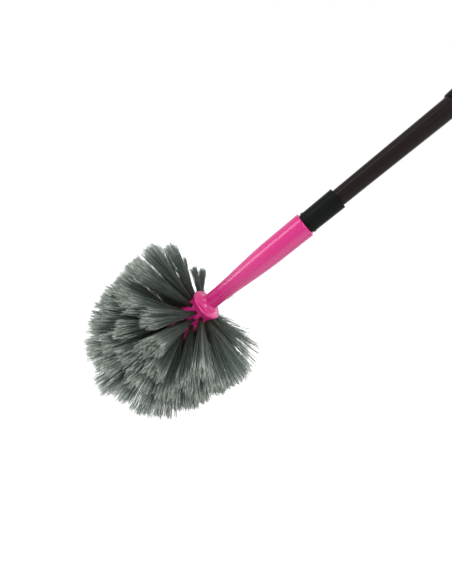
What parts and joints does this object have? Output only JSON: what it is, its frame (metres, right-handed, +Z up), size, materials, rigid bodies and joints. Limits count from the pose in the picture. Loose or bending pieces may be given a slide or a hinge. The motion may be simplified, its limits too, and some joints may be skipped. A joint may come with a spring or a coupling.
{
  "type": "cobweb brush",
  "caption": "Round-headed cobweb brush on a telescopic twist-lock pole, with a screw-on socket head, grip sleeve and hanging eyelet.",
  "frame": {"origin": "centre of the round top of the eyelet in the hang cap, where a hook or peg bears", "axes": "+Z up along the pole from the head to the hang cap, Y through the eyelet, X across it"},
  "size_m": [0.224, 0.2236, 1.0855],
  "materials": {
    "pink_plastic": "glossy moulded polypropylene",
    "grip_plastic": "satin moulded soft-touch sleeve",
    "coated_steel": "smooth black plastic coating on steel tube",
    "label_film": null,
    "black_plastic": "satin moulded polypropylene",
    "lock_plastic": "natural moulded nylon",
    "plated_steel": "zinc-plated",
    "bristles": "flagged synthetic bristle, grey-green with pale tips"
  },
  "bodies": {
    "outer_pole": {"hang_cap": "pink_plastic", "grip_sleeve": "grip_plastic", "outer_tube": "coated_steel", "label_sleeve": "label_film", "tube_collar": "black_plastic"},
    "lock_sleeve": {"split_sleeve": "lock_plastic"},
    "lock_wedge": {"lock_cone": "black_plastic"},
    "inner_pole": {"inner_tube": "coated_steel", "lock_plug": "black_plastic", "lock_stud": "plated_steel", "stud_nut": "plated_steel", "pole_ferrule": "black_plastic"},
    "brush_head": {"head_socket": "pink_plastic", "tuft_block": "pink_plastic", "tuft_anchors": "plated_steel", "tuft_ring_1": "bristles", "tuft_ring_2": "bristles", "tuft_ring_3": "bristles", "tuft_ring_4": "bristles", "tuft_ring_5": "bristles", "tuft_ring_6": "bristles", "tuft_ring_7": "bristles", "tuft_ring_8": "bristles", "tuft_end": "bristles"}
  },
  "joints": [
    {"name": "telescope", "type": "slide", "parent": "outer_pole", "child": "lock_sleeve", "axis": [0, 0, -1], "range_m": [-0.115, 0.26]},
    {"name": "twist_lock", "type": "hinge", "parent": "lock_sleeve", "child": "inner_pole", "pos_m": [0, 0, -0.2323], "axis": [0, 0, -1], "range_deg": [0, 270]},
    {"name": "cone_draw", "type": "slide", "parent": "lock_sleeve", "child": "lock_wedge", "axis": [0, 0, 1], "range_m": [0, 0.0015]},
    {"name": "head_release", "type": "slide", "parent": "inner_pole", "child": "brush_head", "axis": [0, 0, -1], "range_m": [0, 0.03]}
  ],
  "couplings": [
    {"joint": "cone_draw", "follows": "twist_lock", "m_per_rad": 0.000318}
  ]
}
